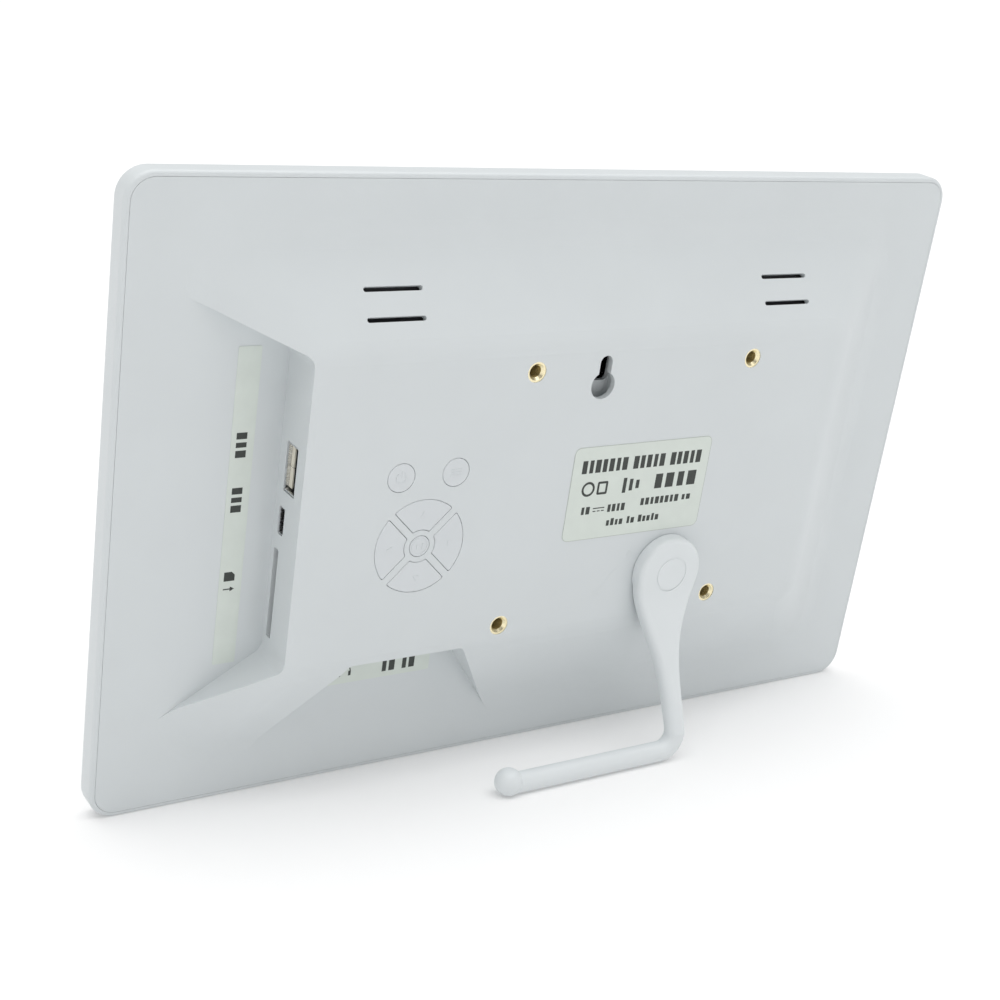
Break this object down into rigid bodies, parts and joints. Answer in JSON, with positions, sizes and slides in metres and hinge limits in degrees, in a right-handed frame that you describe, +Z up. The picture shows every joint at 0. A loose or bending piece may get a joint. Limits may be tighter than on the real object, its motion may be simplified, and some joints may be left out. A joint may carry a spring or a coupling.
{
  "type": "digital photo frame",
  "caption": "White digital photo frame leaning back on a short L-shaped bayonet leg, with rear keys, recessed socket bays, bracket inserts and a wall keyhole.",
  "frame": {"origin": "on the floor, under the middle of the bounding box of the standing frame", "axes": "+Z up, +X along the frame to the right as seen from the picture side, the picture faces -Y; the frame leans back 9.5 degrees"},
  "size_m": [0.2656, 0.0474, 0.1712],
  "materials": {
    "case_white": "cool white moulded ABS, fine satin texture",
    "leg_white": "cool white moulded ABS, smooth satin",
    "key_white": "cool white moulded ABS, smooth satin",
    "brass": "turned, knurled and threaded",
    "label_film": "pale grey-green printed polyester",
    "screen_glass": "dark display surface, switched off",
    "clear_acrylic": "clear acrylic sheet",
    "led_board": "white strip with warm phosphor caps",
    "plated_steel": "thin plated steel sheet",
    "screw_steel": "zinc plated",
    "circuit_board": "green solder mask",
    "black_moulding": "black moulded resin",
    "ferrite": "sintered ferrite",
    "can_metal": "drawn can",
    "ribbon_film": "amber polyimide film",
    "white_connector": "natural nylon",
    "speaker_plastic": "black moulded frame",
    "speaker_membrane": "dark pressed film",
    "magnet": "nickel plated",
    "lead_sheath": "soft insulated lead",
    "switch_button": "black moulded"
  },
  "bodies": {
    "frame": {"bottom_port_label": "label_film", "brass_inserts": "brass", "cable_connector": "white_connector", "card_socket": "plated_steel", "clip_screws": "screw_steel", "crystal": "can_metal", "display_cable": "ribbon_film", "display_clips": "plated_steel", "display_glass": "screen_glass", "display_tray": "plated_steel", "filter_capacitors": "can_metal", "front_bezel": "case_white", "headphone_jack": "black_moulding", "key_board": "circuit_board", "key_board_screws": "screw_steel", "key_ribbon": "ribbon_film", "lead_plugs": "white_connector", "led_strip": "led_board", "left_speaker_cone": "speaker_membrane", "left_speaker_frame": "speaker_plastic", "left_speaker_lead": "lead_sheath", "left_speaker_magnet": "magnet", "light_guide": "clear_acrylic", "main_board": "circuit_board", "main_board_screws": "screw_steel", "memory_chips": "black_moulding", "micro_usb_insert": "black_moulding", "micro_usb_shell": "plated_steel", "power_inductors": "ferrite", "power_jack": "black_moulding", "power_jack_pin": "screw_steel", "processor": "black_moulding", "rating_label": "label_film", "rear_cover": "case_white", "right_speaker_cone": "speaker_membrane", "right_speaker_frame": "speaker_plastic", "right_speaker_lead": "lead_sheath", "right_speaker_magnet": "magnet", "side_port_label": "label_film", "socket_stands": "black_moulding", "speaker_screws": "screw_steel", "switch_bodies": "black_moulding", "usb_a_insert": "black_moulding", "usb_a_shell": "plated_steel"},
    "leg": {"stand_leg": "leg_white"},
    "power_button": {"power_key": "key_white", "power_switch_plunger": "switch_button"},
    "menu_button": {"menu_key": "key_white", "menu_switch_plunger": "switch_button"},
    "ok_button": {"ok_key": "key_white", "ok_switch_plunger": "switch_button"},
    "up_button": {"up_key": "key_white", "up_switch_plunger": "switch_button"},
    "left_button": {"left_key": "key_white", "left_switch_plunger": "switch_button"},
    "down_button": {"down_key": "key_white", "down_switch_plunger": "switch_button"},
    "right_button": {"right_key": "key_white", "right_switch_plunger": "switch_button"}
  },
  "joints": [
    {"name": "leg_swivel", "type": "hinge", "parent": "frame", "child": "leg", "pos_m": [-0.0338, 0.00739, 0.0554], "axis": [0, -0.9863, 0.165], "range_deg": [0, 90]},
    {"name": "power_press", "type": "slide", "parent": "frame", "child": "power_button", "axis": [0, -0.9863, 0.165], "range_m": [0, 0.0003], "stiffness_N_per_m": 3000},
    {"name": "menu_press", "type": "slide", "parent": "frame", "child": "menu_button", "axis": [0, -0.9863, 0.165], "range_m": [0, 0.0003], "stiffness_N_per_m": 3000},
    {"name": "ok_press", "type": "slide", "parent": "frame", "child": "ok_button", "axis": [0, -0.9863, 0.165], "range_m": [0, 0.0003], "stiffness_N_per_m": 3000},
    {"name": "up_press", "type": "slide", "parent": "frame", "child": "up_button", "axis": [0, -0.9863, 0.165], "range_m": [0, 0.0003], "stiffness_N_per_m": 3000},
    {"name": "left_press", "type": "slide", "parent": "frame", "child": "left_button", "axis": [0, -0.9863, 0.165], "range_m": [0, 0.0003], "stiffness_N_per_m": 3000},
    {"name": "down_press", "type": "slide", "parent": "frame", "child": "down_button", "axis": [0, -0.9863, 0.165], "range_m": [0, 0.0003], "stiffness_N_per_m": 3000},
    {"name": "right_press", "type": "slide", "parent": "frame", "child": "right_button", "axis": [0, -0.9863, 0.165], "range_m": [0, 0.0003], "stiffness_N_per_m": 3000}
  ]
}
